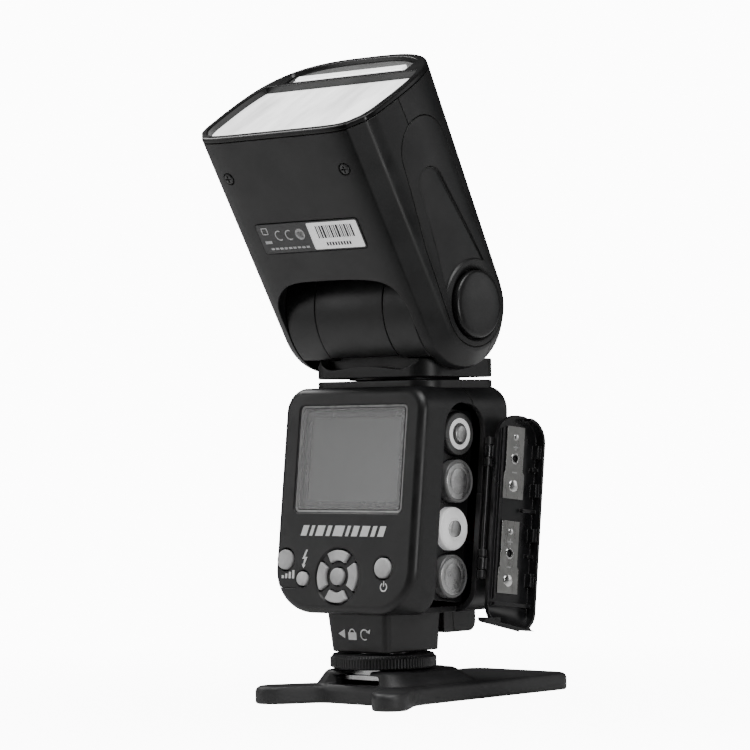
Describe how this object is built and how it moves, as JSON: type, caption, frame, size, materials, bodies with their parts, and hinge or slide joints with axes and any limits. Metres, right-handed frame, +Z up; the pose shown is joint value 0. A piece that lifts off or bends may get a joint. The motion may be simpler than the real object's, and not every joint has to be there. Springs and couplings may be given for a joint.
{
  "type": "speedlight flash",
  "caption": "Shoe-mount flash on a small tabletop stand: tilting, swivelling lamp head, display and keys, open side cell bay with swinging cover, and a locking shoe foot.",
  "frame": {"origin": "on the table under the axis of the locking ring, on the stand's underside", "axes": "+Z up, +Y away from the display side towards where the lens end points when the head is level, +X to the right of a person facing the display, on the side of the cell bay"},
  "size_m": [0.0839, 0.1265, 0.2162],
  "materials": {
    "stand": "fine-textured black",
    "stand_insert": "turned",
    "foot_plate": "ground bright",
    "contact_carrier": "black insulator",
    "lock_pin": "turned",
    "foot_block": "fine-textured black",
    "lock_ring": "fine-textured black",
    "shell": "fine-textured black",
    "window_rim": "bright rim",
    "display_window": "clear flat",
    "display_module": "grey display",
    "main_board": "solder mask",
    "key": "moulded light grey",
    "cage": "black",
    "cell": "printed sleeve",
    "contact": "nickel plated",
    "capacitor": "shrink sleeve",
    "sensor_window": "dark red translucent",
    "steel": "bright",
    "cap": "fine-textured black",
    "rating_label": "printed foil",
    "head_screw": "black cross-head",
    "lens_bezel": "satin black",
    "front_lens": "finely ribbed frosted",
    "wide_panel": "clear ribbed",
    "bounce_card": "white",
    "reflector": "bright anodised",
    "flash_tube": "clear"
  },
  "bodies": {
    "stand": {"stand": "stand", "stand_insert": "stand_insert"},
    "flash_body": {"foot_plate": "foot_plate", "contact_carrier": "contact_carrier", "foot_block": "foot_block", "rear_shell": "shell", "front_shell": "shell", "window_rim": "window_rim", "display_window": "display_window", "display_module": "display_module", "main_board": "main_board", "cell_cage": "cage", "cell_contact_upper": "contact", "cell_contact_lower": "contact", "flash_capacitor": "capacitor", "sensor_window": "sensor_window", "swivel_collar": "shell", "door_pin": "steel"},
    "lock_ring": {"lock_ring": "lock_ring"},
    "lock_pin": {"lock_pin": "lock_pin"},
    "button_mode": {"button_mode": "key"},
    "button_test": {"button_test": "key"},
    "button_power": {"button_power": "key"},
    "key_set": {"key_set": "key"},
    "key_up": {"key_up": "key"},
    "key_down": {"key_down": "key"},
    "key_left": {"key_left": "key"},
    "key_right": {"key_right": "key"},
    "cell_1": {"cell_1": "cell"},
    "cell_2": {"cell_2": "cell"},
    "cell_3": {"cell_3": "cell"},
    "cell_4": {"cell_4": "cell"},
    "battery_door": {"battery_door": "shell", "door_contact_upper": "contact", "door_contact_lower": "contact"},
    "swivel": {"swivel_base": "shell", "neck_cap_left": "shell", "neck_cap_right": "shell", "tilt_shaft": "steel"},
    "head": {"head_lower_shell": "shell", "head_upper_shell": "shell", "side_cover_left": "shell", "side_cover_right": "shell", "hinge_cap_left": "cap", "hinge_cap_right": "cap", "lens_bezel": "lens_bezel", "front_lens": "front_lens", "rating_label": "rating_label", "head_screw_left": "head_screw", "head_screw_right": "head_screw", "guide_rod": "steel", "zoom_motor": "steel"},
    "wide_panel": {"wide_panel": "wide_panel"},
    "bounce_card": {"bounce_card": "bounce_card"},
    "zoom_lamp": {"zoom_carriage": "cage", "reflector": "reflector", "flash_tube": "flash_tube"},
    "lead_screw": {"lead_screw": "steel"}
  },
  "joints": [
    {"name": "foot_slide", "type": "slide", "parent": "stand", "child": "flash_body", "axis": [0, -1, 0], "range_m": [0, 0.024]},
    {"name": "ring_turn", "type": "hinge", "parent": "flash_body", "child": "lock_ring", "pos_m": [0, 0, 0.014], "axis": [0, 0, 1], "range_deg": [0, 60]},
    {"name": "pin_lift", "type": "slide", "parent": "flash_body", "child": "lock_pin", "axis": [0, 0, 1], "range_m": [0, 0.0009]},
    {"name": "button_mode_press", "type": "slide", "parent": "flash_body", "child": "button_mode", "axis": [0, 0.9933, -0.1157], "range_m": [0, 0.0006], "stiffness_N_per_m": 400, "springref_m": -0.0004},
    {"name": "button_test_press", "type": "slide", "parent": "flash_body", "child": "button_test", "axis": [0, 0.9933, -0.1157], "range_m": [0, 0.0006], "stiffness_N_per_m": 400, "springref_m": -0.0004},
    {"name": "button_power_press", "type": "slide", "parent": "flash_body", "child": "button_power", "axis": [0, 0.9933, -0.1157], "range_m": [0, 0.0006], "stiffness_N_per_m": 400, "springref_m": -0.0004},
    {"name": "key_set_press", "type": "slide", "parent": "flash_body", "child": "key_set", "axis": [0, 0.9933, -0.1157], "range_m": [0, 0.0006], "stiffness_N_per_m": 400, "springref_m": -0.0004},
    {"name": "key_up_press", "type": "slide", "parent": "flash_body", "child": "key_up", "axis": [0, 0.9933, -0.1157], "range_m": [0, 0.0006], "stiffness_N_per_m": 400, "springref_m": -0.0004},
    {"name": "key_down_press", "type": "slide", "parent": "flash_body", "child": "key_down", "axis": [0, 0.9933, -0.1157], "range_m": [0, 0.0006], "stiffness_N_per_m": 400, "springref_m": -0.0004},
    {"name": "key_left_press", "type": "slide", "parent": "flash_body", "child": "key_left", "axis": [0, 0.9933, -0.1157], "range_m": [0, 0.0006], "stiffness_N_per_m": 400, "springref_m": -0.0004},
    {"name": "key_right_press", "type": "slide", "parent": "flash_body", "child": "key_right", "axis": [0, 0.9933, -0.1157], "range_m": [0, 0.0006], "stiffness_N_per_m": 400, "springref_m": -0.0004},
    {"name": "cell_1_out", "type": "slide", "parent": "flash_body", "child": "cell_1", "axis": [1, 0, 0], "range_m": [0, 0.05]},
    {"name": "cell_2_out", "type": "slide", "parent": "flash_body", "child": "cell_2", "axis": [1, 0, 0], "range_m": [0, 0.05]},
    {"name": "cell_3_out", "type": "slide", "parent": "flash_body", "child": "cell_3", "axis": [1, 0, 0], "range_m": [0, 0.05]},
    {"name": "cell_4_out", "type": "slide", "parent": "flash_body", "child": "cell_4", "axis": [1, 0, 0], "range_m": [0, 0.05]},
    {"name": "door_swing", "type": "hinge", "parent": "flash_body", "child": "battery_door", "pos_m": [0.0332, 0.01464, 0.06474], "axis": [0, 0.1157, 0.9933], "range_deg": [-174, 0]},
    {"name": "swivel_turn", "type": "hinge", "parent": "flash_body", "child": "swivel", "pos_m": [0, 0.0128, 0.107], "axis": [0, 0, 1], "range_deg": [0, 270]},
    {"name": "head_tilt", "type": "hinge", "parent": "swivel", "child": "head", "pos_m": [0, 0.0064, 0.132], "axis": [1, 0, 0], "range_deg": [-30.65, 59.35]},
    {"name": "wide_panel_pull", "type": "slide", "parent": "head", "child": "wide_panel", "axis": [0, -0.5098, 0.8603], "range_m": [0, 0.03]},
    {"name": "bounce_card_pull", "type": "slide", "parent": "head", "child": "bounce_card", "axis": [0, -0.5098, 0.8603], "range_m": [0, 0.03]},
    {"name": "zoom_travel", "type": "slide", "parent": "head", "child": "zoom_lamp", "axis": [0, -0.5098, 0.8603], "range_m": [0, 0.012]},
    {"name": "screw_spin", "type": "hinge", "parent": "head", "child": "lead_screw", "pos_m": [0.0265, -0.01909, 0.17501], "axis": [0, -0.5098, 0.8603], "range_deg": [0, 1440]}
  ],
  "couplings": [
    {"joint": "pin_lift", "follows": "ring_turn", "m_per_rad": 0.0008594},
    {"joint": "screw_spin", "follows": "zoom_travel", "rad_per_m": 2094.4}
  ]
}
